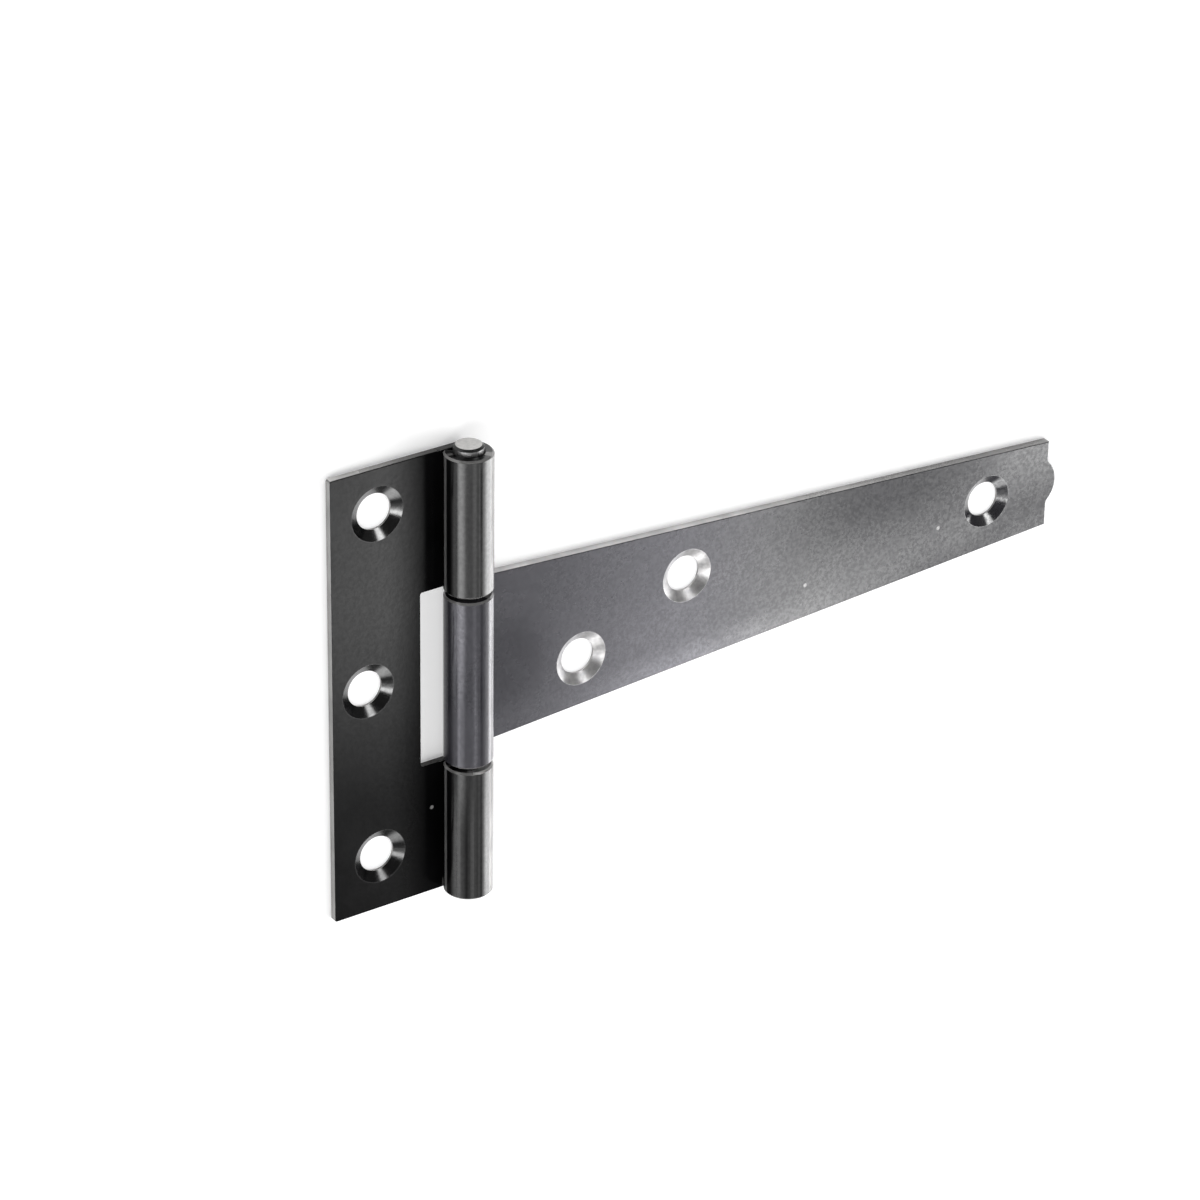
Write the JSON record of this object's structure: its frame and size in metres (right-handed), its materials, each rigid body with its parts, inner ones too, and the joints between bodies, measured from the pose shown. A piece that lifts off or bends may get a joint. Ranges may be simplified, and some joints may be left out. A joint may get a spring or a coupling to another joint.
{
  "type": "tee hinge",
  "caption": "Light tee hinge in black enamelled steel sheet: notched rectangular butt plate and long tapered strap with a lobed tip, both curled round a plain pin, with countersunk screw holes.",
  "frame": {"origin": "middle of the footprint of the open hinge, in the plane that the backs of both leaves lie on", "axes": "+X from the butt plate along the strap to its tip, +Y along the pin to its proud end, +Z out of the leaves on the side of the countersinks and the barrel"},
  "size_m": [0.119, 0.066, 0.0066],
  "materials": {
    "black_enamel": "gloss",
    "pin_steel": "satin"
  },
  "bodies": {
    "plate": {"butt_plate": "black_enamel", "hinge_pin": "pin_steel"},
    "strap": {"strap": "black_enamel"}
  },
  "joints": [
    {"name": "strap_swing", "type": "hinge", "parent": "plate", "child": "strap", "pos_m": [-0.04002, -0.0007, 0.0033], "axis": [0, -1, 0], "range_deg": [-120, 190]}
  ]
}
